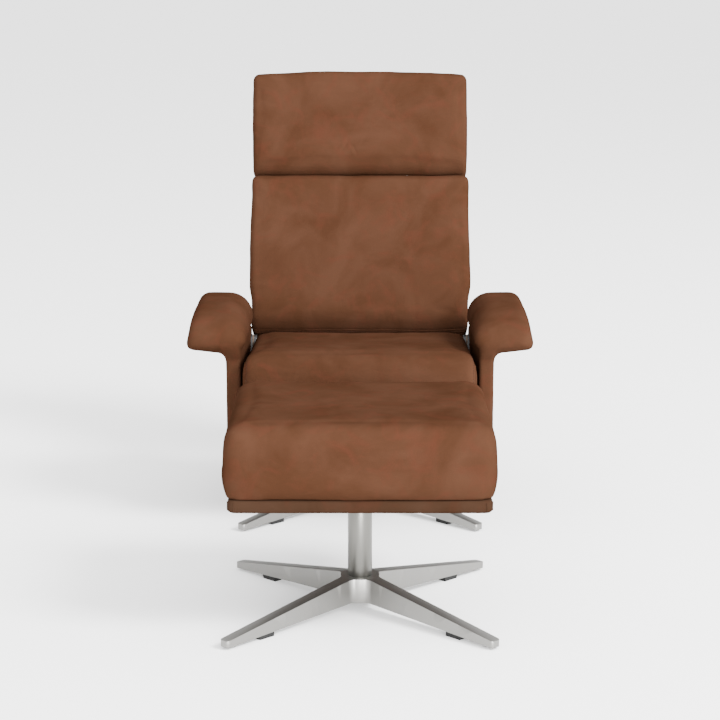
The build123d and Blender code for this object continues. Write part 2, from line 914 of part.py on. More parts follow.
# ---------------------------------------------------------------- headrest hinge
head_round = headrest_thickness / 2
hinge_y, hinge_z = on_back(back_height + headrest_gap + head_round, -head_round)
post_plate_thickness = 3
post_plate_half_width = 14
post_plate_foot = 325
post_plate_top = 396
post_rear = back_cover_front - post_plate_thickness
post_x = hinge_blade_x + hinge_blade_thickness / 2
post_blade_radius = 6
with BuildPart() as post:
    with BuildSketch(back_plane.offset(back_cover_front)):
        with Locations((post_x, (post_plate_foot + post_plate_top) / 2)):
            Rectangle(2 * post_plate_half_width, post_plate_top - post_plate_foot)
    extrude(amount=-post_plate_thickness)
    post_stations = [
        (on_back(post_plate_foot + 10, back_cover_front - post_blade_radius), post_blade_radius),
        (on_back(back_height + 6, back_cover_front - post_blade_radius), post_blade_radius),
        ((hinge_y, hinge_z), hinge_eye_radius),
    ]
    for (near, near_radius), (far, far_radius) in zip(post_stations, post_stations[1:]):
        with BuildSketch(side_plane(hinge_blade_x)):
            with Locations(near):
                Circle(near_radius)
            with Locations(far):
                Circle(far_radius)
            make_hull()
        extrude(amount=hinge_blade_thickness)
    with BuildSketch(side_plane(hinge_blade_x - 1, hinge_y, hinge_z)):
        Circle(hinge_pin_radius + press_gap)
    extrude(amount=hinge_blade_thickness + 2, mode=Mode.SUBTRACT)
post_screws = [
    back_screw(post_x + side * 8.5, up, post_rear, head_radius=4, shank_radius=2, head_height=2)
    for side in (-1, 1)
    for up in (post_plate_foot + 12, post_plate_top - 12)
]
post = without(as_part(post.part), post_screws)
keep("headrest_posts", post, mirrored(post))

right_screws = bracket_screws + post_screws
screws = right_screws + [mirrored(screw) for screw in right_screws]
keep("back_screws", *screws)

back_board = padded_slab(
    back_plane,
    back_half_width_foot - 18,
    back_half_width_top - 18,
    8,
    back_height - 8,
    front=back_board_front,
    thickness=back_board_thickness,
    corner=14,
    edge=0,
)
keep("back_board", without(back_board, screws))

with BuildPart() as back_cover:
    add(
        padded_slab(
            back_plane,
            back_half_width_foot,
            back_half_width_top,
            0,
            back_height,
            front=back_cover_front,
            thickness=back_cover_thickness,
            corner=10,
            edge=0,
        )
    )
    fillet(back_cover.faces().sort_by(Axis((0, 0, 0), back_plane.z_dir))[0].edges(), 10)
fittings = [bracket, post, mirrored(bracket), mirrored(post)]
keep("back_rear_cover", without(as_part(back_cover.part), fittings + screws))

# ---------------------------------------------------------------- headrest
head_out = Vector(0, -cos(radians(headrest_tilt)), sin(radians(headrest_tilt)))
head_top = headrest_height - head_round  # above the hinge axis
head_front = head_round  # depths in front of the hinge axis
head_rear = head_front - headrest_thickness
head_board_rear = head_rear + headrest_cover_thickness
head_board_front = head_board_rear + headrest_board_thickness


def headrest_plane(x=0):
    """Plane across the hinge axis: local X out of the headrest's face, and local Y up it."""
    return Plane(origin=(x, hinge_y, hinge_z), x_dir=head_out, z_dir=(-1, 0, 0))


def headrest_slab(rear, front, foot, top, half_width, x=0):
    """Plain block in the headrest's own directions, centred on a distance from the middle."""
    with BuildPart() as slab:
        with BuildSketch(headrest_plane(x)):
            with Locations(((rear + front) / 2, (foot + top) / 2)):
                Rectangle(front - rear, top - foot)
        extrude(amount=half_width, both=True)
    return as_part(slab.part)


ear_x = hinge_blade_x + hinge_blade_thickness + running_gap
ear_thickness = 5
leaf_top = 56
with BuildPart() as ear:
    with BuildSketch(headrest_plane(ear_x + ear_thickness)):
        Circle(hinge_eye_radius)
        with Locations(*[(head_board_front + 5, up) for up in (headrest_board_foot + 7, leaf_top - 5)]):
            Circle(5)
        make_hull()
        Circle(hinge_pin_radius + press_gap, mode=Mode.SUBTRACT)
    extrude(amount=ear_thickness)
    with BuildSketch(headrest_plane(ear_x + 24)):
        with Locations(
            (head_board_front + hinge_leaf_thickness / 2, (headrest_board_foot + leaf_top) / 2)
        ):
            Rectangle(hinge_leaf_thickness, leaf_top - headrest_board_foot)
    extrude(amount=24)
ear = as_part(ear.part)
keep("headrest_hinge_ears", ear, mirrored(ear))

hinge_pin = disc_along_x(
    hinge_blade_x - 2, hinge_y, hinge_z, hinge_pin_radius, ear_x + ear_thickness + 4 - hinge_blade_x
)
keep("headrest_hinge_pins", hinge_pin, mirrored(hinge_pin))

headrest_board = headrest_slab(
    head_board_rear, head_board_front, headrest_board_foot, head_top - 10, headrest_half_width - 14
)
keep("headrest_board", headrest_board)

with BuildPart() as headrest_block:
    with BuildSketch(headrest_plane()):
        Circle(head_round)
        with Locations((0, head_top / 2)):
            Rectangle(headrest_thickness, head_top)
        fillet(vertices().sort_by(Axis.Y)[-2:], 22)
    extrude(amount=headrest_half_width, both=True)
    for end in (0, -1):
        fillet(headrest_block.faces().sort_by(Axis.X)[end].edges(), 12)

# Pockets open to the rear and below, wide enough for a post, an ear and the swing between them
pocket_inner_x = hinge_blade_x - 2
pocket_outer_x = ear_x + ear_thickness + 3
pocket_half_width = (pocket_outer_x - pocket_inner_x) / 2
pocket_reach = hinge_eye_radius + hinge_clearance
pocket = headrest_slab(
    head_rear - 1,
    pocket_reach,
    -head_round - 1,
    headrest_board_foot,
    pocket_half_width,
    x=(pocket_inner_x + pocket_outer_x) / 2,
)
pockets = [pocket, mirrored(pocket)]
cover_slab = headrest_slab(
    head_rear - 1, head_board_rear, -head_round - 1, head_top + 1, headrest_half_width + 1
)
block = as_part(headrest_block.part)
keep("headrest_cushion", without(block, [cover_slab, headrest_board, ear, mirrored(ear), *pockets]))
with BuildPart() as headrest_cover:
    add(block)
    add(cover_slab, mode=Mode.INTERSECT)
    for cutter in pockets:
        add(cutter, mode=Mode.SUBTRACT)
keep("headrest_rear_cover", as_part(headrest_cover.part))

# ---------------------------------------------------------------- footstool
stool_plate_bottom = stool_board_bottom - plate_thickness
stool_bolt_sides = (-stool_bolt_offset, stool_bolt_offset)
stool_bolt_points = [(x, y) for x in stool_bolt_sides for y in stool_bolt_sides]
column_set("stool", stool_leg_reach, stool_plate_bottom, -column_spacing)
stool_place = Location((0, -column_spacing, 0))


def keep_stool(name, *shapes):
    """Store footstool pieces that were drawn round the footstool's own column."""
    keep("stool_" + name, *[shape.moved(stool_place) for shape in shapes])


keep_stool(
    "swivel_plate",
    bored_plate(
        stool_plate_bottom,
        2 * stool_plate_half,
        2 * stool_plate_half,
        0,
        14,
        stool_bolt_points,
        stool_bolt_radius + running_gap,
    ),
)
stool_bolts = plate_bolts(
    stool_bolt_points, stool_plate_bottom, plate_thickness + stool_board_thickness - 5, stool_bolt_radius
)
keep_stool("plate_bolts", *stool_bolts)
stool_board = padded_board(
    stool_board_bottom,
    stool_board_thickness,
    stool_board_half_width,
    stool_front_y + board_end_setback,
    stool_rear_y - board_end_setback,
    corner=12,
)
keep_stool("board", without(stool_board, stool_bolts))

with BuildPart() as stool_cushion:
    with BuildSketch(Plane.YZ):
        with BuildLine():
            Polyline(
                (stool_front_y + 4, stool_cushion_bottom),
                (stool_front_y, stool_cushion_bottom + 60),
                (stool_front_y, stool_top),
                (stool_rear_y, stool_top),
                (stool_rear_y, stool_cushion_bottom + 60),
                (stool_rear_y - 4, stool_cushion_bottom),
                close=True,
            )
        make_face()
        fillet(vertices().sort_by(Axis.Y)[-2:], 34)
    extrude(amount=stool_half_width, both=True)
    stool_soft_edges = stool_cushion.edges().filter_by(
        lambda edge: abs(abs(edge.center().X) - stool_half_width) < 1
        and edge.center().Z > stool_cushion_bottom + 10
    )
    fillet(stool_soft_edges, 30)
keep_stool("cushion", as_part(stool_cushion.part))

# ---------------------------------------------------------------- centre the set and write it
bounds = Compound([solid for solids in parts.values() for solid in solids]).bounding_box()
shift = Location((-(bounds.min.X + bounds.max.X) / 2, -(bounds.min.Y + bounds.max.Y) / 2, 0))
print("shift", shift.position, "nodes", len(parts))

os.makedirs("parts", exist_ok=True)
for name, solids in parts.items():
    placed = [solid.moved(shift) for solid in solids]
    piece = placed[0] if len(placed) == 1 else Compound(placed)
    piece.label = name
    export_step(piece, f"parts/{name}.step")
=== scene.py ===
# %% [markdown]
# # A leather relaxer chair and its footstool
#
# A swivel armchair with a tall back, a headrest and two flared arms, and a footstool in the
# same leather. Both stand on cast aluminium star bases. The frame comes from the CAD model,
# which gives every piece its place. This script dresses it: it swaps the plain soft solids for
# stuffed leather forms, sews their seams, and gives every part its real finish.

# %% Load the frame
import json
from math import cos, pi, radians, sin, tan

import bmesh
import bpy
import numpy as np
from mathutils import Matrix, Vector, noise


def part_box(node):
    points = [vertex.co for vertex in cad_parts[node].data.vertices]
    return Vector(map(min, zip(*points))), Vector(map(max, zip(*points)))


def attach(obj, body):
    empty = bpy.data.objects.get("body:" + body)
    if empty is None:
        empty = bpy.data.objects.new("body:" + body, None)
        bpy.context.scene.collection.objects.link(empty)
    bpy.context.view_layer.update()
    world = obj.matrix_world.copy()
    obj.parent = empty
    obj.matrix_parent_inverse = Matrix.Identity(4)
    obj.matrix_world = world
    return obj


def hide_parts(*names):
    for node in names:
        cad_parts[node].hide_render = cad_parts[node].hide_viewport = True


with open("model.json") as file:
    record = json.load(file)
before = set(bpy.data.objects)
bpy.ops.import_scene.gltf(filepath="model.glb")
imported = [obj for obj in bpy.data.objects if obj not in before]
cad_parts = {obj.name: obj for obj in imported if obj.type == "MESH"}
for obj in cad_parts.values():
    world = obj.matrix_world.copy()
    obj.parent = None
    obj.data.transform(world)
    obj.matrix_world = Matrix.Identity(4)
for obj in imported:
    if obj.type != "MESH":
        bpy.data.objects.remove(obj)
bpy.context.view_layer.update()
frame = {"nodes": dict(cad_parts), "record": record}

nodes = frame["nodes"]
scene = bpy.context.scene

# %% [markdown]
# ## The camera and the light
#
# The picture is taken from in front of the chair and a little above it, with a long lens, so
# the two pieces keep nearly the same scale. The camera's place is set from the chair's column,
# because that is the one point that both pieces line up with.

# %% Camera
column_low, column_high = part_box("chair_column")
column_y = (column_low[1] + column_high[1]) / 2
camera_distance = 4.724  # in front of the chair's column
camera_height = 1.286
camera_pitch = radians(11.16)  # below the horizontal

camera_data = bpy.data.cameras.new("camera")
camera_data.lens = 98.5
camera_data.sensor_width = 36
camera = bpy.data.objects.new("camera", camera_data)
camera.location = (0, column_y - camera_distance, camera_height)
camera.rotation_euler = (pi / 2 - camera_pitch, 0, 0)
scene.collection.objects.link(camera)
scene.camera = camera
print("camera at", [round(value, 3) for value in camera.location])


# %% Colours
def linear(hex_colour):
    """An sRGB hex colour as the linear RGBA that shaders read."""
    parts = [int(hex_colour[i : i + 2], 16) / 255 for i in (1, 3, 5)]
    return [
        part / 12.92 if part <= 0.04045 else ((part + 0.055) / 1.055) ** 2.4 for part in parts
    ] + [1]


# %% [markdown]
# A white room does most of the lighting. One large soft lamp stands to the right, in front and
# above, so the shadow falls to the left and behind, and the left-hand sides turn darker. A wide
# lamp low in front fills what would otherwise be dark under the arms and cushions.

# %% Light and floor
world = bpy.data.worlds.new("white room")
world.use_nodes = True
background = world.node_tree.nodes["Background"]
wall_place = world.node_tree.nodes.new("ShaderNodeTexCoord").outputs["Generated"]
wall_side = world.node_tree.nodes.new("ShaderNodeVectorMath")
wall_side.operation = "DOT_PRODUCT"
wall_side.inputs[1].default_value = (0.45, -0.85, 0.25)  # towards the bright corner of the room
wall_light = world.node_tree.nodes.new("ShaderNodeMapRange")
world.node_tree.links.new(wall_place, wall_side.inputs[0])
world.node_tree.links.new(wall_side.outputs["Value"], wall_light.inputs["Value"])
for label, value in (("From Min", -1.0), ("From Max", 1.0), ("To Min", 1.0), ("To Max", 4.4)):
    wall_light.inputs[label].default_value = value
world.node_tree.links.new(wall_light.outputs["Result"], background.inputs["Strength"])
background.inputs["Color"].default_value = linear("#ffffff")
scene.world = world


def soft_lamp(name, direction, distance, size, power):
    """A square area lamp that looks at the chair from some way off."""
    data = bpy.data.lights.new(name, "AREA")
    data.size = size
    data.energy = power
    lamp = bpy.data.objects.new(name, data)
    target = Vector((0, 0.2, 0.5))
    lamp.location = target + Vector(direction).normalized() * distance
    lamp.rotation_euler = (target - lamp.location).to_track_quat("-Z", "Y").to_euler()
    scene.collection.objects.link(lamp)
    return lamp


key = soft_lamp("key", (1.04, -0.71, 1.0), distance=9.5, size=3.0, power=2500)
fill_lamp = soft_lamp("fill", (0.15, -1.0, 0.1), distance=14.0, size=6.0, power=5000)


def flat_sheet(name, half_size):
    """A large level sheet at floor height."""
    mesh = bpy.data.meshes.new(name)
    corners = [(-half_size, -half_size, 0), (half_size, -half_size, 0), (half_size, half_size, 0)]
    mesh.from_pydata(corners + [(-half_size, half_size, 0)], [], [(0, 1, 2, 3)])
    sheet = bpy.data.objects.new(name, mesh)
    scene.collection.objects.link(sheet)
    return sheet


floor = flat_sheet("floor", 300)
print("lamps:", key.name, fill_lamp.name)


# %% [markdown]
# ## Finishes
#
# Each finish is a small node tree. One function adds a node, sets it up and links its inputs,
# so that each material below reads as a list of what happens to the surface.

# %% One function for every node
def add_node(tree, kind, settings=None, **inputs):
    """Add a node; a plain value is set on its input, and a socket is linked to it."""
    new = tree.nodes.new(kind)
    for key_name, value in (settings or {}).items():
        setattr(new, key_name, value)
    for label, value in inputs.items():
        wanted = label.replace("_", " ")
        socket = next(s for s in new.inputs if s.enabled and s.name.lower() == wanted.lower())
        if isinstance(value, bpy.types.NodeSocket):
            tree.links.new(value, socket)
        else:
            socket.default_value = value
    return new


def new_finish(name):
    """An empty material, its tree, its shader, and the object coordinates that patterns read."""
    material = bpy.data.materials.new(name)
    material.use_nodes = True
    tree = material.node_tree
    shader = tree.nodes["Principled BSDF"]
    place = tree.nodes.new("ShaderNodeTexCoord").outputs["Object"]
    return material, tree, shader, place


floor_finish, _, floor_shader, _ = new_finish("matt white floor")
floor_shader.inputs["Base Color"].default_value = linear("#f7f7f7")
floor_shader.inputs["Roughness"].default_value = 0.9
floor_shader.inputs["Specular IOR Level"].default_value = 0.1
floor.data.materials.append(floor_finish)

# %% [markdown]
# **Waxed full-grain leather.** A thick hide, dyed through and lightly waxed, so it has
# no plastic shine. Cloudy patches come from the dye, redder patches from where the hide took
# more of it. The grain is a net of small pebbles. Real pebbles are about 1 mm across, and are
# drawn at 2.5 mm here, because finer ones would not show.


# %% Leather
def hide_finish(name, shade="#352218", deep="#2e1c12", red="#3a1f16", seed=0.0):
    """Cloudy brown leather with a pebble grain and fine creases across the piece."""
    material, tree, shader, place = new_finish(name)
    mm = 1000.0
    shifted = add_node(
        tree, "ShaderNodeMapping", Vector=place, Location=(seed, seed * 0.7, -seed)
    ).outputs[0]
    clouds = add_node(
        tree,
        "ShaderNodeTexNoise",
        Vector=shifted,
        Scale=mm / 130,
        Detail=4.0,
        Roughness=0.6,
        Distortion=0.6,
    )
    cloud_range = add_node(
        tree, "ShaderNodeMapRange", Value=clouds.outputs["Fac"], From_Min=0.36, From_Max=0.66
    )
    patches = add_node(
        tree,
        "ShaderNodeTexNoise",
        Vector=shifted,
        Scale=mm / 55,
        Detail=3.0,
        Roughness=0.55,
        Distortion=1.2,
    )
    patch_range = add_node(
        tree,
        "ShaderNodeMapRange",
        Value=patches.outputs["Fac"],
        From_Min=0.5,
        From_Max=0.74,
        To_Max=0.45,
    )
    tone = add_node(
        tree,
        "ShaderNodeMix",
        {"data_type": "RGBA"},
        Factor=cloud_range.outputs[0],
        A=linear(deep),
        B=linear(shade),
    )
    tone = add_node(
        tree,
        "ShaderNodeMix",
        {"data_type": "RGBA"},
        Factor=patch_range.outputs[0],
        A=tone.outputs[2],
        B=linear(red),
    )
    tree.links.new(tone.outputs[2], shader.inputs["Base Color"])
    pebbles = add_node(
        tree,
        "ShaderNodeTexVoronoi",
        {"feature": "SMOOTH_F1"},
        Vector=place,
        Scale=mm / 2.5,
        Smoothness=0.6,
    )
    stretched = add_node(tree, "ShaderNodeMapping", Vector=place, Scale=(0.35, 1.0, 1.0)).outputs[0]
    creases = add_node(
        tree,
        "ShaderNodeTexNoise",
        Vector=stretched,
        Scale=mm / 18,
        Detail=5.0,
        Roughness=0.62,
        Distortion=0.4,
    )
    grain = add_node(
        tree, "ShaderNodeBump", Height=pebbles.outputs["Distance"], Strength=0.25, Distance=0.0004
    )
    worn = add_node(
        tree,
        "ShaderNodeBump",
        Height=creases.outputs["Fac"],
        Strength=0.35,
        Distance=0.002,
        Normal=grain.outputs[0],
    )
    tree.links.new(worn.outputs[0], shader.inputs["Normal"])
    sheen = add_node(
        tree,
        "ShaderNodeMapRange",
        Value=clouds.outputs["Fac"],
        From_Min=0.3,
        From_Max=0.7,
        To_Min=0.72,
        To_Max=0.6,
    )
    tree.links.new(sheen.outputs[0], shader.inputs["Roughness"])
    shader.inputs["IOR"].default_value = 1.45
    shader.inputs["Specular IOR Level"].default_value = 0.0
    return material


leather = hide_finish("waxed full-grain leather")
# The boards' bands get a darker copy of the same leather: painted shade under the cushions'
# overhang.
shaded_board_leather = hide_finish(
    "board leather darkened as painted shade", shade="#2a1d15", deep="#251810", red="#2f1a12", seed=0.4
)
print("leather nodes:", len(leather.node_tree.nodes))

# %% [markdown]
# **Cast aluminium.** The star bases are cast, blasted and satin-finished, which gives a pale grey
# metal with a soft highlight and a very fine, even roughness. **Satin steel.** The columns are
# turned tube, so their finish runs round them and the highlight is a tall narrow band.


# %% Metals
def metal_finish(name, colour, roughness, grit_mm, stretch=(1.0, 1.0, 1.0)):
    """A bare metal with a directional or even grit in its roughness and bump."""
    material, tree, shader, place = new_finish(name)
    shader.inputs["Base Color"].default_value = linear(colour)
    shader.inputs["Metallic"].default_value = 1.0
    turned = add_node(tree, "ShaderNodeMapping", Vector=place, Scale=stretch).outputs[0]
    grit = add_node(
        tree, "ShaderNodeTexNoise", Vector=turned, Scale=1000 / grit_mm, Detail=3.0, Roughness=0.6
    )
    spread = add_node(
        tree,
        "ShaderNodeMapRange",
        Value=grit.outputs["Fac"],
        From_Min=0.3,
        From_Max=0.7,
        To_Min=roughness - 0.05,
        To_Max=roughness + 0.06,
    )
    tree.links.new(spread.outputs[0], shader.inputs["Roughness"])
    bump = add_node(
        tree, "ShaderNodeBump", Height=grit.outputs["Fac"], Strength=0.5, Distance=0.00006
    )
    tree.links.new(bump.outputs[0], shader.inputs["Normal"])
    return material


cast_aluminium = metal_finish("satin cast aluminium", "#807f7c", roughness=0.42, grit_mm=1.6)
satin_steel = metal_finish(
    "satin turned steel", "#666561", roughness=0.33, grit_mm=2.0, stretch=(1.0, 1.0, 6.0)
)
zinc_steel = metal_finish("zinc-plated steel", "#a9aaa6", roughness=0.3, grit_mm=3.0)


# %% [markdown]
# **Painted, moulded and wooden parts.** These sit under and inside the chair: powder-coated steel
# with its orange-peel skin, natural and black nylon, rubber pads, a fibre friction disc, waxed
# thread, and birch plywood.


# %% Painted and moulded parts
def plain_finish(name, colour, roughness, texture_mm, depth, level=0.5):
    """A moulded or painted surface: slight tone changes and a skin of small bumps."""
    material, tree, shader, place = new_finish(name)
    skin = add_node(tree, "ShaderNodeTexNoise", Vector=place, Scale=1000 / texture_mm, Detail=2.0)
    wide = add_node(tree, "ShaderNodeTexNoise", Vector=place, Scale=1000 / 60, Detail=3.0)
    dark = [value * 0.85 for value in linear(colour)[:3]] + [1]
    tone = add_node(
        tree,
        "ShaderNodeMix",
        {"data_type": "RGBA"},
        Factor=wide.outputs["Fac"],
        A=dark,
        B=linear(colour),
    )
    tree.links.new(tone.outputs[2], shader.inputs["Base Color"])
    shader.inputs["Roughness"].default_value = roughness
    shader.inputs["Specular IOR Level"].default_value = level
    bump = add_node(
        tree, "ShaderNodeBump", Height=skin.outputs["Fac"], Strength=0.4, Distance=depth
    )
    tree.links.new(bump.outputs[0], shader.inputs["Normal"])
    return material


powder_coat = plain_finish(
    "black powder coat", "#1c1c1d", roughness=0.45, texture_mm=2.0, depth=0.0002
)
black_rubber = plain_finish(
    "black rubber", "#141414", roughness=0.8, texture_mm=3.0, depth=0.0002, level=0.3
)
black_nylon = plain_finish(
    "moulded black nylon", "#1a1a1a", roughness=0.5, texture_mm=1.5, depth=0.0001
)
white_nylon = plain_finish(
    "natural nylon", "#d9d6cb", roughness=0.4, texture_mm=4.0, depth=0.0001
)
friction_fibre = plain_finish(
    "friction fibre", "#4a3b30", roughness=0.85, texture_mm=1.2, depth=0.0003
)
thread = plain_finish(
    "waxed thread", "#24130c", roughness=0.8, texture_mm=0.8, depth=0.0001, level=0.1
)


def plywood_finish():
    """Birch plywood with a long grain."""
    material, tree, shader, place = new_finish("birch plywood")
    grain_place = add_node(
        tree, "ShaderNodeMapping", Vector=place, Scale=(1.0, 12.0, 12.0)
    ).outputs[0]
    grain = add_node(
        tree,
        "ShaderNodeTexNoise",
        Vector=grain_place,
        Scale=1000 / 120,
        Detail=6.0,
        Roughness=0.6,
        Distortion=0.8,
    )
    tone = add_node(
        tree,
        "ShaderNodeMix",
        {"data_type": "RGBA"},
        Factor=grain.outputs["Fac"],
        A=linear("#a97f51"),
        B=linear("#d3b283"),
    )
    tree.links.new(tone.outputs[2], shader.inputs["Base Color"])
    shader.inputs["Roughness"].default_value = 0.65
    return material


birch_plywood = plywood_finish()

# %% Hand each CAD part its finish
finish_of_slot = {
    "cast_aluminium": cast_aluminium,
    "satin_column": satin_steel,
    "rubber_pads": black_rubber,
    "brown_leather": leather,
    "leather_board": leather,
    "plywood": birch_plywood,
    "nylon": white_nylon,
    "black_plastic": black_nylon,
    "friction_disc": friction_fibre,
    "bright_steel": zinc_steel,
    "black_steel": powder_coat,
}
finish_of_node = dict.fromkeys(
    ("headrest_hinge_pins", "headrest_hinge_ears", "left_pivot_plate", "right_pivot_plate"),
    powder_coat,
)
for entry in frame["record"]["subparts"]:
    part = nodes[entry["node"]]
    for index in range(len(part.material_slots)):
        finish = finish_of_node.get(entry["node"], finish_of_slot[entry["material_slot"]])
        part.material_slots[index].material = finish

# %% [markdown]
# ## Stuffed leather
#
# A cushion of this chair is a block of moulded foam in a sewn leather cover. The foam keeps the
# block's shape, and the tight cover rounds its edges and crowns its faces. It could be modelled
# by hand with a subdivision surface, but the soft swelling between corners is hard to guess.
# Here the cover is simulated. The CAD solid gets an even skin of small quads, which is drawn in a
# little and then blown up by cloth pressure, and each point may only move so far.

# %% Helpers for moving points
def points_of(piece):
    """All vertices of a piece, as an array of X, Y, Z rows."""
    rows = np.empty(len(piece.data.vertices) * 3, dtype=np.float32)
    piece.data.vertices.foreach_get("co", rows)
    return rows.reshape(-1, 3).astype(float)


def normals_of(piece):
    """The vertex normals of a piece, in the same order."""
    rows = np.empty(len(piece.data.vertices) * 3, dtype=np.float32)
    piece.data.vertex_normals.foreach_get("vector", rows)
    return rows.reshape(-1, 3).astype(float)


def move_points(piece, rows):
    """Put the vertices of a piece at new places."""
    piece.data.vertices.foreach_set("co", rows.astype(np.float32).ravel())
    piece.data.update()


def step(values, low, high):
    """0 below low, 1 above high, and a smooth rise between."""
    share = np.clip((values - low) / (high - low), 0, 1)
    return share * share * (3 - 2 * share)


def bake(piece):
    """Turn a piece's modifiers into its plain mesh."""
    graph = bpy.context.evaluated_depsgraph_get()
    mesh = bpy.data.meshes.new_from_object(piece.evaluated_get(graph))
    piece.modifiers.clear()
    old, piece.data = piece.data, mesh
    bpy.data.meshes.remove(old)
    return piece


def new_piece(name, mesh):
    """An object at the origin that holds a mesh."""
    piece = bpy.data.objects.new(name, mesh)
    scene.collection.objects.link(piece)
    return piece


class Lean:
    """The padding's own directions: X across, Y rearwards and Z up, leaned back by some degrees."""

    def __init__(self, node, degrees=0):
        turn = np.array(Matrix.Rotation(-radians(degrees), 3, "X"))
        corners = np.array([vertex.co for vertex in nodes[node].data.vertices])
        self.turn = turn
        self.low = (corners @ turn).min(axis=0)
        self.high = (corners @ turn).max(axis=0)

    def inside(self, rows):
        """World rows in the padding's own directions."""
        return rows @ self.turn

    def outside(self, rows):
        """Rows in the padding's own directions, back in the world's."""
        return rows @ self.turn.T


# %% An even skin, and the filling
def add_modifier(piece, kind, **settings):
    """Add a modifier with its settings."""
    modifier = piece.modifiers.new(kind.lower(), kind)
    for label, value in settings.items():
        setattr(modifier, label, value)
    return modifier


def even_skin(piece, voxel, smoothing):
    """Rebuild a piece from quads of one size and smooth away their steps."""
    add_modifier(piece, "REMESH", mode="VOXEL", voxel_size=voxel)
    add_modifier(piece, "SMOOTH", factor=0.5, iterations=smoothing)
    return bake(piece)


def skin_of_node(name, node, voxel=0.007):
    """An even skin of a CAD solid."""
    work = bmesh.new()
    work.from_mesh(nodes[node].data)
    bmesh.ops.remove_doubles(work, verts=work.verts, dist=0.00002)
    mesh = bpy.data.meshes.new(name)
    work.to_mesh(mesh)
    work.free()
    return even_skin(new_piece(name, mesh), voxel, smoothing=3)


def fill(piece, held, draw_in, cap, smoothing=4):
    """Draw the skin in and blow it up: each point moves out by no more than cap, or in by sink."""
    pressure, frames, sink = 4.0, 20, 0.001
    rows = points_of(piece)
    still = held(rows)
    free = 1 - still[:, None]
    rows = rows - normals_of(piece) * draw_in * free
    move_points(piece, rows)
    facing = normals_of(piece)
    group = piece.vertex_groups.new(name="held")
    group.add([int(index) for index in np.nonzero(still > 0.5)[0]], 1.0, "REPLACE")
    cloth = piece.modifiers.new("filling", "CLOTH")
    cloth.settings.use_pressure = True
    cloth.settings.uniform_pressure_force = pressure
    cloth.settings.vertex_group_mass = group.name
    cloth.settings.effector_weights.gravity = 0
    for frame_number in range(1, frames + 1):
        scene.frame_set(frame_number)
    bake(piece)
    piece.vertex_groups.clear()
    scene.frame_set(1)
    swollen = points_of(piece)
    shift = (swollen - rows) * free
    sunk = np.maximum(-(shift * facing).sum(axis=1, keepdims=True), 0)
    shift += facing * (sunk - sink * np.tanh(sunk / sink))
    length = np.linalg.norm(shift, axis=1, keepdims=True) + 1e-9
    move_points(piece, rows + shift * cap * np.tanh(length / cap) / length)
    add_modifier(piece, "SMOOTH", factor=0.5, iterations=smoothing)
    bake(piece)
    print(
        piece.name,
        "moved by up to",
        round(float(length.max()) * 1000, 1),
        "mm, capped at",
        cap * 1000,
    )


def keep_within(piece, lean, below, above):
    """Bring back softly whatever stands out of the CAD solid's box by more than a few mm."""
    rows = lean.inside(points_of(piece))
    for axis in range(3):
        over = np.maximum(rows[:, axis] - lean.high[axis], 0)
        under = np.maximum(lean.low[axis] - rows[:, axis], 0)
        rows[:, axis] += above[axis] * np.tanh(over / above[axis]) - over
        rows[:, axis] -= below[axis] * np.tanh(under / below[axis]) - under
    move_points(piece, lean.outside(rows))


def widen(piece, half_width):
    """Stretch a piece across, until its widest point is where it should be."""
    rows = points_of(piece)
    rows[:, 0] *= half_width / abs(rows[:, 0]).max()
    move_points(piece, rows)


def fit_width(piece, lean, heights, halves):
    """Stretch a piece across, height by height, to given half-widths above its foot."""
    rows = lean.inside(points_of(piece))
    up = rows[:, 2] - lean.low[2]
    margin, bands = 0.022, 23
    edges = np.linspace(margin, up.max() - margin, bands + 1)
    middles = (edges[:-1] + edges[1:]) / 2
    widest = [abs(rows[(up >= a) & (up < b), 0]).max() for a, b in zip(edges, edges[1:])]
    ratio = np.interp(middles, heights, halves) / np.array(widest)
    rows[:, 0] *= np.interp(up, middles, ratio)
    move_points(piece, lean.outside(rows))


def finer(piece):
    """One level of subdivision, baked."""
    add_modifier(piece, "SUBSURF", levels=1, render_levels=1)
    bake(piece)


# %% [markdown]
# Tight leather is never quite even. Broad shallow hollows show where the foam gives, and a few
# short creases show where the cover is pulled. Both are moved into the mesh itself, so they catch
# the light as real ones do.


# %% Hollows and creases
def dimple(piece, depth, size, seed):
    """Push the skin in and out by soft noise."""
    rows = points_of(piece)
    offset = Vector((seed * 3.1, seed * 1.7, seed * 2.3))
    waves = np.array([noise.noise(Vector(row) / size + offset) for row in rows])
    move_points(piece, rows + normals_of(piece) * (waves * depth)[:, None])


def crease(piece, lean, marks, up=2):
    """Press creases in; a mark is its place across and up, angle, length, width and depth."""
    rows = points_of(piece)
    local = lean.inside(rows) * 1000
    facing = normals_of(piece)
    press = np.zeros(len(rows))
    for place_x, place_up, angle, length, width, depth in marks:
        along_x, along_up = cos(radians(angle)), sin(radians(angle))
        off_x, off_up = local[:, 0] - place_x, local[:, up] - place_up
        along = off_x * along_x + off_up * along_up
        beside = off_up * along_x - off_x * along_up
        bend = beside - 0.12 * along * along / max(length, 1)
        press += depth * np.exp(-((along / length) ** 2) - (bend / width) ** 2)
        press -= 0.45 * depth * np.exp(
            -((along / length) ** 2) - ((bend - 1.8 * width) / width) ** 2
        )
    move_points(piece, rows - facing * (press / 1000)[:, None])


def random_marks(rng, count, *ranges):
    """Marks with each of their six values drawn from its own range, in mm and degrees."""
    return [tuple(rng.uniform(low, high) for low, high in ranges) for _ in range(count)]


def held_foot(lean):
    """A rule that holds the underside, where a cushion rests on its board."""
    foot = lean.low[2]
    return lambda rows: 1 - step(rows[:, 2], foot + 0.002, foot + 0.006)


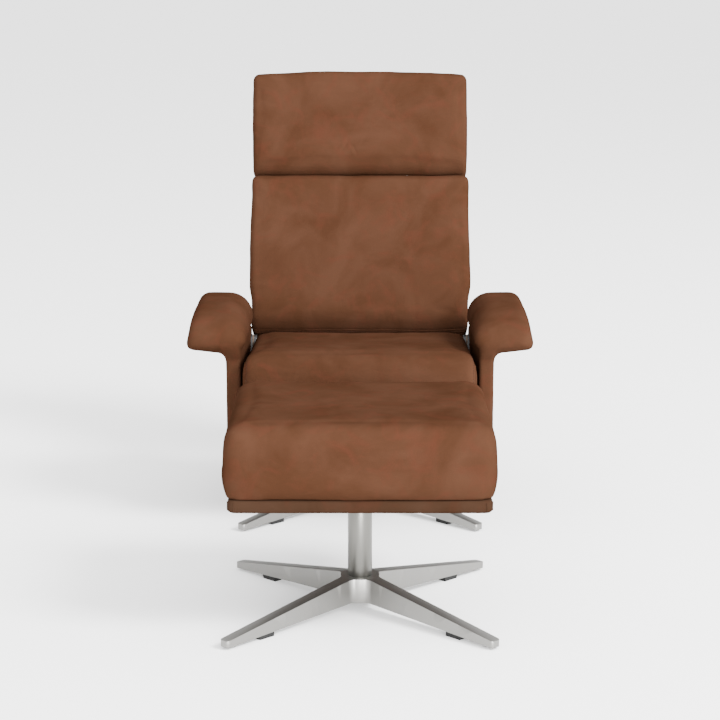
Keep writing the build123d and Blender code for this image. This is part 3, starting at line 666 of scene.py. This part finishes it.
# %% [markdown]
# ## Seams
#
# The covers are cut from flat hides, so each cushion has a seam where the face joins the sides. On
# the real chair it is a lapped seam: the edge is turned under and sewn down with one row of
# thread beside it. The skin is pressed in along a plane's cut, a thin lip follows the cut, and
# Geometry Nodes sew the stitches along a second cut beside it.


# %% Where a plane meets a skin
def cut_line(piece, point, normal):
    """The longest closed line where a plane meets a piece, in order."""
    work = bmesh.new()
    work.from_mesh(piece.data)
    everything = work.verts[:] + work.edges[:] + work.faces[:]
    cut = bmesh.ops.bisect_plane(work, geom=everything, plane_co=point, plane_no=normal)
    links = {}
    for edge in [item for item in cut["geom_cut"] if isinstance(item, bmesh.types.BMEdge)]:
        links.setdefault(edge.verts[0], []).append(edge.verts[1])
        links.setdefault(edge.verts[1], []).append(edge.verts[0])
    lines, seen = [], set()
    for start in links:
        if start in seen:
            continue
        line, here = [start], start
        seen.add(start)
        while True:
            following = next((vertex for vertex in links[here] if vertex not in seen), None)
            if following is None:
                break
            seen.add(following)
            line.append(following)
            here = following
        lines.append([vertex.co.copy() for vertex in line])
    work.free()
    lengths = [sum((a - b).length for a, b in zip(line, line[1:])) for line in lines]
    return lines[lengths.index(max(lengths))]


def press_seam(piece, point, normal):
    """A soft groove along the cut."""
    depth, width = 0.0018, 0.0045
    rows = points_of(piece)
    away = (rows - np.array(point)) @ np.array(Vector(normal).normalized())
    sunk = depth * np.exp(-((away / width) ** 2))
    move_points(piece, rows - normals_of(piece) * sunk[:, None])


# %% Geometry Nodes: stitches and the seam's lip
def new_tree(name, sockets):
    """An empty geometry tree with named inputs, and its input and output nodes."""
    tree = bpy.data.node_groups.new(name, "GeometryNodeTree")
    tree.interface.new_socket("Geometry", in_out="INPUT", socket_type="NodeSocketGeometry")
    for label, kind, value in sockets:
        socket = tree.interface.new_socket(label, in_out="INPUT", socket_type=kind)
        if value is not None:
            socket.default_value = value
    tree.interface.new_socket("Geometry", in_out="OUTPUT", socket_type="NodeSocketGeometry")
    return tree, tree.nodes.new("NodeGroupInput").outputs, tree.nodes.new("NodeGroupOutput")


stitch_tree, given, result = new_tree(
    "stitches",
    [
        ("Pitch", "NodeSocketFloat", 0.0065),
        ("Stitch Length", "NodeSocketFloat", 0.0046),
        ("Thread Radius", "NodeSocketFloat", 0.0006),
        ("Thread", "NodeSocketMaterial", None),
    ],
)
spots = add_node(
    stitch_tree,
    "GeometryNodeResampleCurve",
    {"mode": "LENGTH"},
    Curve=given["Geometry"],
    Length=given["Pitch"],
)
half_length = add_node(stitch_tree, "ShaderNodeMath", {"operation": "MULTIPLY"})
stitch_tree.links.new(given["Stitch Length"], half_length.inputs[0])
half_length.inputs[1].default_value = 0.5
stitch_size = add_node(
    stitch_tree,
    "ShaderNodeCombineXYZ",
    X=given["Thread Radius"],
    Y=given["Thread Radius"],
    Z=half_length.outputs[0],
)
bead = add_node(stitch_tree, "GeometryNodeMeshUVSphere", Segments=6, Rings=4, Radius=1.0)
along = add_node(stitch_tree, "GeometryNodeInputTangent")
aim = add_node(
    stitch_tree, "FunctionNodeAlignRotationToVector", {"axis": "Z"}, Vector=along.outputs[0]
)
sewn = add_node(
    stitch_tree,
    "GeometryNodeInstanceOnPoints",
    Points=spots.outputs[0],
    Instance=bead.outputs["Mesh"],
    Rotation=aim.outputs[0],
    Scale=stitch_size.outputs[0],
)
real = add_node(stitch_tree, "GeometryNodeRealizeInstances", Geometry=sewn.outputs[0])
dyed = add_node(
    stitch_tree, "GeometryNodeSetMaterial", Geometry=real.outputs[0], Material=given["Thread"]
)
stitch_tree.links.new(dyed.outputs[0], result.inputs[0])

lip_tree, given, result = new_tree(
    "seam lip",
    [
        ("Spacing", "NodeSocketFloat", 0.006),
        ("Lip Radius", "NodeSocketFloat", 0.0013),
        ("Leather", "NodeSocketMaterial", None),
    ],
)
evened = add_node(
    lip_tree,
    "GeometryNodeResampleCurve",
    {"mode": "LENGTH"},
    Curve=given["Geometry"],
    Length=given["Spacing"],
)
section = add_node(
    lip_tree, "GeometryNodeCurvePrimitiveCircle", Resolution=6, Radius=given["Lip Radius"]
)
swept = add_node(
    lip_tree,
    "GeometryNodeCurveToMesh",
    Curve=evened.outputs[0],
    Profile_Curve=section.outputs["Curve"],
    Fill_Caps=True,
)
real = add_node(lip_tree, "GeometryNodeRealizeInstances", Geometry=swept.outputs[0])
dyed = add_node(
    lip_tree, "GeometryNodeSetMaterial", Geometry=real.outputs[0], Material=given["Leather"]
)
lip_tree.links.new(dyed.outputs[0], result.inputs[0])
print("trees:", len(stitch_tree.nodes), len(lip_tree.nodes), "nodes")


# %% Sewing
def path_curve(name, lines):
    """One curve object with a straight-run spline for each line, closed or open."""
    curve = bpy.data.curves.new(name, "CURVE")
    curve.dimensions = "3D"
    for line, closes in lines:
        spline = curve.splines.new("POLY")
        spline.points.add(len(line) - 1)
        for point, spot in zip(spline.points, line):
            point.co = (*spot, 1)
        spline.use_cyclic_u = closes
    guide = bpy.data.objects.new(name, curve)
    scene.collection.objects.link(guide)
    return guide


def grow(name, lines, tree, **inputs):
    """Run a tree along some lines and keep the result as a plain mesh piece."""
    guide = path_curve(name + "_guide", lines)
    modifier = guide.modifiers.new("grow", "NODES")
    modifier.node_group = tree
    for socket in tree.interface.items_tree:
        label = socket.name.replace(" ", "_")
        if socket.in_out == "INPUT" and label in inputs:
            modifier[socket.identifier] = inputs[label]
    graph = bpy.context.evaluated_depsgraph_get()
    piece = new_piece(name, bpy.data.meshes.new_from_object(guide.evaluated_get(graph)))
    guide_data = guide.data
    bpy.data.objects.remove(guide)
    bpy.data.curves.remove(guide_data)
    for face in piece.data.polygons:
        face.use_smooth = True
    return piece


def sew(piece, name, body, cuts, beside=0.004):
    """Seams along planes: a groove and a lip on each cut, and a row of stitches beside it."""
    for point, normal in cuts:
        press_seam(piece, point, normal)
    lips, rows = [], []
    for point, normal in cuts:
        point, normal = Vector(point), Vector(normal).normalized()
        lips.append((cut_line(piece, point, normal), True))
        rows.append((cut_line(piece, point + normal * beside, normal), True))
    lip = grow(name + "_seam", lips, lip_tree, Leather=leather)
    stitches = grow(name + "_stitches", rows, stitch_tree, Thread=thread)
    for sewn_piece in (lip, stitches):
        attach(sewn_piece, body)
    print(name, "seams:", len(cuts), "stitch faces:", len(stitches.data.polygons))


def dress(piece, body, replaced, material=None):
    """Smooth shading, leather, the CAD part it replaces hidden, and its body as parent."""
    piece.data.materials.clear()
    piece.data.materials.append(material or leather)
    for face in piece.data.polygons:
        face.use_smooth = True
    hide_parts(replaced)
    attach(piece, body)
    print(piece.name, len(piece.data.polygons), "faces")


# %% [markdown]
# ## The seat cushion
#
# A thick pad that slopes down to the back, with a full roll at the front for the thighs. It rests
# on its board, so its underside stays flat and held, and the rest is filled. The sides stay clear
# of the arms, because the seat slides between them.

# %% Seat cushion
lean = Lean("seat_cushion")
seat = skin_of_node("seat_pad", "seat_cushion")
fill(seat, held_foot(lean), draw_in=0.001, cap=0.007, smoothing=7)
keep_within(seat, lean, below=(0.001, 0.004, 0.0005), above=(0.001, 0.001, 0.004))
widen(seat, lean.high[0] + 0.0005)
rows = points_of(seat)
front_share = 1 - step(rows[:, 1], lean.low[1] + 0.02, lean.low[1] + 0.068)
rows[:, 0] *= 1 + 0.016 * front_share  # a little wider ahead of the side panels
move_points(seat, rows)
finer(seat)
dimple(seat, depth=0.0016, size=0.11, seed=3)
dimple(seat, depth=0.0006, size=0.035, seed=5)
rng = np.random.default_rng(11)
seat_marks = random_marks(
    rng, 16, (-210, 210), (372, 408), (-4, 4), (22, 60), (2.2, 3.4), (0.3, 0.8)
)
crease(seat, lean, seat_marks)
seam_x = lean.high[0] - 0.004
sew(
    seat, "seat", "seat", [((side * seam_x, 0, 0), (side, 0, 0)) for side in (-1, 1)], beside=-0.005
)
dress(seat, "seat", "seat_cushion")

# %% [markdown]
# ## The back cushion and the headrest
#
# Both are foam slabs with a nearly flat face. The back rolls under at its foot, where it meets
# the seat. The headrest hangs in front of two hinges, in pockets that stay as they are in the CAD
# model, so only its face, its top and its sides are filled.


# %% Back cushion
lean = Lean("back_cushion", 20)
back_lean = lean
back = skin_of_node("back_pad", "back_cushion")
rows = lean.inside(points_of(back))
roll_height, roll_depth, roll_reach = 0.052, 0.026, 0.05
low_share = 1 - step(rows[:, 2], lean.low[2], lean.low[2] + roll_height)
front_share = 1 - step(rows[:, 1], lean.low[1], lean.low[1] + roll_reach)
rows[:, 1] += roll_depth * low_share**1.5 * front_share
move_points(back, lean.outside(rows))


def back_held(rows):
    """The rear face, which lies on its board, is held."""
    depth = back_lean.inside(rows)[:, 1]
    return step(depth, back_lean.high[1] - 0.012, back_lean.high[1] - 0.004)


fill(back, back_held, draw_in=0.0, cap=0.005)
keep_within(back, lean, below=(0.001, 0.004, 0.002), above=(0.001, 0.0005, 0.001))
heights = (0.022, 0.090, 0.125, 0.200, 0.300, 0.400)  # above the foot
half_widths = (0.2785, 0.2785, 0.2850, 0.2845, 0.2830, 0.2810)  # narrow beside the arms
fit_width(back, lean, heights, half_widths)
rows = lean.inside(points_of(back))
lip_rise, lip_place, lip_width = 0.0050, 0.021, 0.011  # the top's full lip below the headrest
top_share = step(rows[:, 2], lean.high[2] - 0.014, lean.high[2] - 0.002)
from_lip = rows[:, 1] - lean.low[1] - lip_place
rows[:, 2] += lip_rise * top_share * np.exp(-((from_lip / lip_width) ** 2))
move_points(back, lean.outside(rows))
finer(back)
dimple(back, depth=0.002, size=0.12, seed=8)
dimple(back, depth=0.0007, size=0.04, seed=9)
rng = np.random.default_rng(5)
foot = lean.low[2] * 1000
back_marks = random_marks(
    rng, 14, (-230, 230), (foot + 25, foot + 75), (60, 120), (10, 22), (3, 5), (0.3, 0.8)
)
crease(back, lean, back_marks)


def leaned(lean, x, y, z):
    """A world point from a place in the padding's own directions."""
    return Vector(lean.turn @ np.array((x, y, z)))


def rearwards(lean):
    """The direction from the face to the rear."""
    return Vector(lean.turn @ np.array((0, 1, 0)))


sew(back, "back", "back", [(leaned(lean, 0, lean.low[1] + 0.030, 0), rearwards(lean))])
dress(back, "back", "back_cushion")

# %% Headrest
lean = Lean("headrest_cushion", 12)
head_lean = lean
head = skin_of_node("headrest_pad", "headrest_cushion", voxel=0.006)


def head_held(rows):
    """The rear face and the two hinge pockets are held."""
    local = head_lean.inside(rows)
    rear = step(local[:, 1], head_lean.high[1] - 0.05, head_lean.high[1] - 0.04)
    across = abs(local[:, 0])
    pocket_inner, pocket_outer, blend = 0.104, 0.148, 0.006
    hinge = step(across, pocket_inner - blend, pocket_inner)
    hinge *= 1 - step(across, pocket_outer, pocket_outer + blend)
    low = 1 - step(local[:, 2], head_lean.low[2] + 0.07, head_lean.low[2] + 0.08)
    behind = step(local[:, 1], head_lean.low[1] + 0.018, head_lean.low[1] + 0.024)
    return np.maximum(rear, hinge * low * behind)


fill(head, head_held, draw_in=0.0, cap=0.005)
keep_within(head, lean, below=(0.001, 0.004, 0.001), above=(0.001, 0.0005, 0.002))
rows = lean.inside(points_of(head))
corner_drop, corner_reach = 0.009, 0.12  # the top falls away to its corners
crown = step(rows[:, 2], lean.high[2] - corner_reach, lean.high[2])
rows[:, 2] -= corner_drop * crown * (abs(rows[:, 0]) / lean.high[0]) ** 2.6
move_points(head, lean.outside(rows))
widen(head, lean.high[0] + 0.0045)
finer(head)
dimple(head, depth=0.0018, size=0.1, seed=12)
dimple(head, depth=0.0006, size=0.035, seed=14)
head_foot = lean.low[2] * 1000
head_marks = [
    (-38, head_foot + 78, 58, 18, 4.5, 2.0),
    (-14, head_foot + 70, 118, 15, 4.0, 1.6),
    (6, head_foot + 88, 48, 13, 4.0, 1.2),
    (-150, head_foot + 60, 80, 18, 5.0, 0.6),
    (175, head_foot + 64, 105, 16, 5.0, 0.6),
]
crease(head, lean, head_marks)
sew(head, "headrest", "headrest", [(leaned(lean, 0, lean.low[1] + 0.032, 0), rearwards(lean))])
dress(head, "headrest", "headrest_cushion")

# %% [markdown]
# ## The footstool's cushion
#
# The fullest pad of the set: its front and sides belly out between a narrow foot, where the cover
# is pulled down over the board, and a softly rounded top.

# %% Footstool cushion
lean = Lean("stool_cushion")
stool = skin_of_node("stool_pad", "stool_cushion")
rows = points_of(stool)
middle = (lean.low + lean.high) / 2
half = (lean.high - lean.low) / 2
up = (rows[:, 2] - middle[2]) / half[2]
pinch_depth = 0.006
pinch = pinch_depth * np.abs(up) ** 2.2
for axis in (0, 1):
    side = (rows[:, axis] - middle[axis]) / half[axis]
    rows[:, axis] -= np.sign(side) * pinch * step(abs(side), 0.7, 1.0)
move_points(stool, rows)
fill(stool, held_foot(lean), draw_in=0.001, cap=0.009, smoothing=9)
keep_within(stool, lean, below=(0.002, 0.003, 0.0005), above=(0.002, 0.003, 0.003))
widen(stool, lean.high[0] + 0.0065)
finer(stool)
dimple(stool, depth=0.002, size=0.12, seed=21)
dimple(stool, depth=0.0007, size=0.04, seed=22)
rng = np.random.default_rng(17)
shallow = ((2.2, 3.2), (0.3, 0.7))
depths = (1000 * (lean.low[1] + 0.08), 1000 * (lean.high[1] - 0.03))
heights = (1000 * (lean.low[2] + 0.03), 1000 * (lean.high[2] - 0.03))
top_marks = random_marks(rng, 12, (-220, 220), depths, (-6, 6), (20, 50), *shallow)
front_marks = random_marks(rng, 10, (-220, 220), heights, (-8, 8), (18, 45), *shallow)
crease(stool, lean, top_marks, up=1)
crease(stool, lean, front_marks)
dress(stool, "footstool", "stool_cushion")

# %% [markdown]
# ## The boards and the rear covers
#
# Under each seat is a plywood board in the same leather, pulled tight and stapled below. Its band
# is nearly flat, with a vertical seam near each corner, and is drawn in a darker copy of that
# leather: painted shade under the cushion's overhang. The shells behind the back and the
# headrest are leather over thin foam, so they get the same even skin, smoothed but not filled.


# %% Solids from rings
def rounded_outline(corners, steps=6):
    """Points round a closed outline; each corner gives two distances and a radius."""
    points = []
    for index, (first, second, radius) in enumerate(corners):
        here = Vector((first, second))
        before = Vector(corners[index - 1][:2]) - here
        after = Vector(corners[(index + 1) % len(corners)][:2]) - here
        if not radius:
            points.append(here)
            continue
        before.normalize()
        after.normalize()
        half_angle = before.angle(after) / 2
        centre = here + (before + after).normalized() * radius / sin(half_angle)
        start = here + before * radius / tan(half_angle) - centre
        end = here + after * radius / tan(half_angle) - centre
        for number in range(steps + 1):
            points.append(centre + start.lerp(end, number / steps).normalized() * radius)
    return points


def stack_rings(work, rings):
    """A closed solid through rings that have the same number of points."""
    layers = [[work.verts.new(point) for point in ring] for ring in rings]
    for lower, upper in zip(layers, layers[1:]):
        for index in range(len(lower)):
            following = (index + 1) % len(lower)
            work.faces.new((lower[index], lower[following], upper[following], upper[index]))
    work.faces.new(layers[0][::-1])
    work.faces.new(layers[-1])


def mesh_of_rings(name, stacks):
    """One mesh from several stacks of rings, facing outwards."""
    work = bmesh.new()
    for rings in stacks:
        stack_rings(work, rings)
    bmesh.ops.recalc_face_normals(work, faces=work.faces)
    mesh = bpy.data.meshes.new(name)
    work.to_mesh(mesh)
    work.free()
    return mesh


# %% Leather-wrapped boards
def wrapped_board(name, node, body):
    """A board's plan, run through a side profile with a rolled lower edge."""
    low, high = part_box(node)
    profile = [(0.0, 0.007), (0.0006, 0.0035), (0.003, 0.0012), (0.007, 0.0002)]
    profile += [
        (0.5 * (high[2] - low[2]), -0.0004),
        (high[2] - low[2] - 0.003, 0.0006),
        (high[2] - low[2], 0.0022),
    ]
    rings = []
    corner = 0.013
    for up_by, inset in profile:
        x, y0, y1 = high[0] - inset, low[1] + inset, high[1] - inset
        outline = rounded_outline(
            [(x, y0, corner), (x, y1, corner), (-x, y1, corner), (-x, y0, corner)]
        )
        rings.append([(point[0], point[1], low[2] + up_by) for point in outline])
    board = new_piece(name, mesh_of_rings(name, [rings]))
    # The band is drawn in the darker leather, as painted shade under the cushion.
    dress(board, body, node, material=shaded_board_leather)


def board_seams(name, node, body):
    """Upright seams near the corners of a board's band, each a thin lip."""
    low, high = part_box(node)
    foot, top = low[2] + 0.004, high[2] - 0.003
    from_corner = 0.012
    lines = []
    for side in (-1, 1):
        for end in (low[1], high[1]):
            lines.append(
                [
                    Vector((side * (high[0] - from_corner), end, z))
                    for z in np.linspace(foot, top, 6)
                ],
            )
        for end in (low[1] + from_corner, high[1] - from_corner):
            lines.append([Vector((side * high[0], end, z)) for z in np.linspace(foot, top, 6)])
    # The seam lips share the band's darker leather, which is painted shade.
    seams = grow(
        name, [(line, False) for line in lines], lip_tree, Leather=shaded_board_leather, Lip_Radius=0.0009
    )
    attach(seams, body)


for node, body in (("seat_board", "seat"), ("stool_board", "footstool")):
    wrapped_board(node + "_cover", node, body)
    board_seams(node + "_seams", node, body)

# %% Rear covers
for name, node, body in (
    ("back_shell", "back_rear_cover", "back"),
    ("headrest_shell", "headrest_rear_cover", "headrest"),
):
    shell = skin_of_node(name, node, voxel=0.0045)
    dress(shell, body, node)

# %% The edge between the back's cushion and its shell
lean = Lean("back_board", 20)
shell_low, shell_high = back_lean.low, back_lean.high
edge_rings = []
for depth, inset in ((0.0003, 0.004), (0.004, 0.0015), (0.010, 0.0015), (0.0137, 0.004)):
    x, foot, top = shell_high[0] - inset, shell_low[2] + inset, shell_high[2] - inset
    outline = rounded_outline(
        [(x, foot, 0.010), (x - 0.0012, top, 0.010), (0.0012 - x, top, 0.010), (-x, foot, 0.010)]
    )
    edge_rings.append([tuple(leaned(lean, a, lean.low[1] + depth, b)) for a, b in outline])
back_edge = new_piece("back_edge_band", mesh_of_rings("back_edge_band", [edge_rings]))
dress(back_edge, "back", "back_board")

# %% [markdown]
# ## The arms
#
# An arm is one upholstered shape: a flared pad on a thin side panel. Seen from the front it is a
# mushroom, tall and round on its inner side, with a lip that overhangs the panel outside. The pad
# is a stack of sections that shrink to its two noses. The pad and the panel overlap, and the even
# skin joins them with a soft fillet, like leather pulled over one foam body.

# %% Arms
arm_low, arm_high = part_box("right_arm_cover")
panel_inset, panel_thickness, panel_setback, panel_rear_height = 0.007, 0.030, 0.021, 0.388
pad_depth, pad_length = 0.094, 0.348
panel_inner = arm_low[0] + panel_inset
panel_outer = panel_inner + panel_thickness
arm_top = arm_high[2]
root = arm_top - pad_depth  # height where the pad leaves the panel
pad_front, pad_rear = arm_low[1], arm_low[1] + pad_length
panel_front, panel_rear = arm_low[1] + panel_setback, arm_high[1]

section = rounded_outline(
    [
        (panel_inner, root - 0.030, 0),
        (panel_inner, root + 0.004, 0.012),
        (arm_low[0] - 0.006, root + 0.026, 0.018),
        (arm_low[0] - 0.001, arm_top + 0.001, 0.054),
        (arm_high[0] - 0.011, arm_top + 0.001, 0.027),
        (arm_high[0] + 0.004, root + 0.0075, 0.017),
        (panel_outer, root - 0.002, 0.024),
        (panel_outer, root - 0.030, 0),
    ]
)
belly = root + 0.022  # below this height a section keeps its heights
tip = root + 0.013  # below this height a section flattens to its ends
fall_length, fall_height = 0.175, 0.060  # the nose's long fall from the top to the front
rear_length, rear_height, rear_round = 0.030, 0.026, 0.022
side_round, under_round, neck_length = 0.024, 0.016, 0.030
pad_middle_x = (panel_inner + arm_high[0]) / 2 - 0.008
pad_half_width = 0.066


def quarter(share):
    """How far a quarter circle has still to go, from 1 at its start to 0 at its end."""
    return 1 - (1 - (1 - min(share, 1)) ** 2) ** 0.5


def pad_ring(along, fall, length, flank):
    """The pad's section at a distance behind an end, drawn in and lowered there."""
    top = arm_top - fall * quarter(along / length)
    draw = flank * quarter(along / flank)
    lift = under_round * quarter(along / under_round)
    neck_share = min(along / neck_length, 1)
    ring = []
    for x, z in section:
        if z > belly:
            z = belly + (z - belly) * (top - belly) / (arm_top - belly)
        elif z < tip:
            z = tip - (tip - z) * neck_share
        share = (z - root) / (top - root)
        z += lift * max(0, 1 - share)
        x -= draw * (x - pad_middle_x) / pad_half_width
        ring.append((x, z))
    return ring


pad_rings = []
front_places = (0, 0.0006, 0.0025, 0.006, 0.011, 0.018, 0.027, 0.040, 0.060, 0.084, 0.112, 0.143)
for along in (*front_places, fall_length):
    ring = pad_ring(along, fall_height, fall_length, side_round)
    pad_rings.append([(x, pad_front + along, z) for x, z in ring])
for along in (rear_length, 0.020, 0.012, 0.006, 0.002, 0):
    ring = pad_ring(along, rear_height, rear_length, rear_round)
    pad_rings.append([(x, pad_rear - along, z) for x, z in ring])

neck = rounded_outline(
    [
        (panel_inner, root - 0.05, 0),
        (panel_inner, root + 0.05, 0),
        (panel_outer, root + 0.05, 0),
        (panel_outer, root - 0.05, 0),
    ]
)
neck_rings = [[(x, y, z) for x, z in neck] for y in (panel_front, pad_rear - 0.02)]
outline = rounded_outline(
    [
        (panel_front, arm_low[2], 0.030),
        (panel_rear, arm_low[2], 0.030),
        (panel_rear, panel_rear_height, 0.030),
        (pad_rear - 0.014, root + 0.022, 0.04),
        (panel_front, root + 0.022, 0),
    ],
    steps=10,
)
panel_rings = [[(x, y, z) for y, z in outline] for x in (panel_inner, panel_outer)]


def arm(name, side, node):
    """The right arm, or its mirror image."""
    piece = new_piece(name, mesh_of_rings(name, [pad_rings, neck_rings, panel_rings]))
    even_skin(piece, voxel=0.0045, smoothing=5)
    swell, bulge = 0.0015, 0.0025
    move_points(piece, points_of(piece) + normals_of(piece) * swell)
    rows = points_of(piece)
    outer = step(rows[:, 0], panel_inner + 0.010, panel_outer)
    outer *= 1 - step(rows[:, 2], root - 0.02, root + 0.01)
    rows[:, 0] += bulge * outer * (1 - step(rows[:, 1], panel_front + 0.10, panel_front + 0.22))
    move_points(piece, rows)
    dimple(piece, depth=0.0012, size=0.08, seed=31)
    if side < 0:
        rows = points_of(piece)
        rows[:, 0] *= -1
        move_points(piece, rows)
        piece.data.flip_normals()
    dress(piece, "chassis", node)


arm("right_arm", 1, "right_arm_cover")
arm("left_arm", -1, "left_arm_cover")

# %% [markdown]
# ## The last edges
#
# A casting has no knife edges. The CAD star bases are sharp where their flanks meet their tops, so
# each gets a small live bevel. Its mesh is loose triangles, so a weld comes first.

# %% Softened castings
for node, width in (
    ("chair_star_base", 0.0016),
    ("stool_star_base", 0.0016),
    ("chair_column", 0.0006),
    ("stool_column", 0.0006),
    ("left_tension_knob", 0.0008),
    ("right_tension_knob", 0.0008),
):
    add_modifier(nodes[node], "WELD", merge_threshold=0.00002)
    add_modifier(
        nodes[node],
        "BEVEL",
        width=width,
        segments=2,
        limit_method="ANGLE",
        angle_limit=radians(35),
        use_clamp_overlap=True,
    )
print("bevels on six nodes")
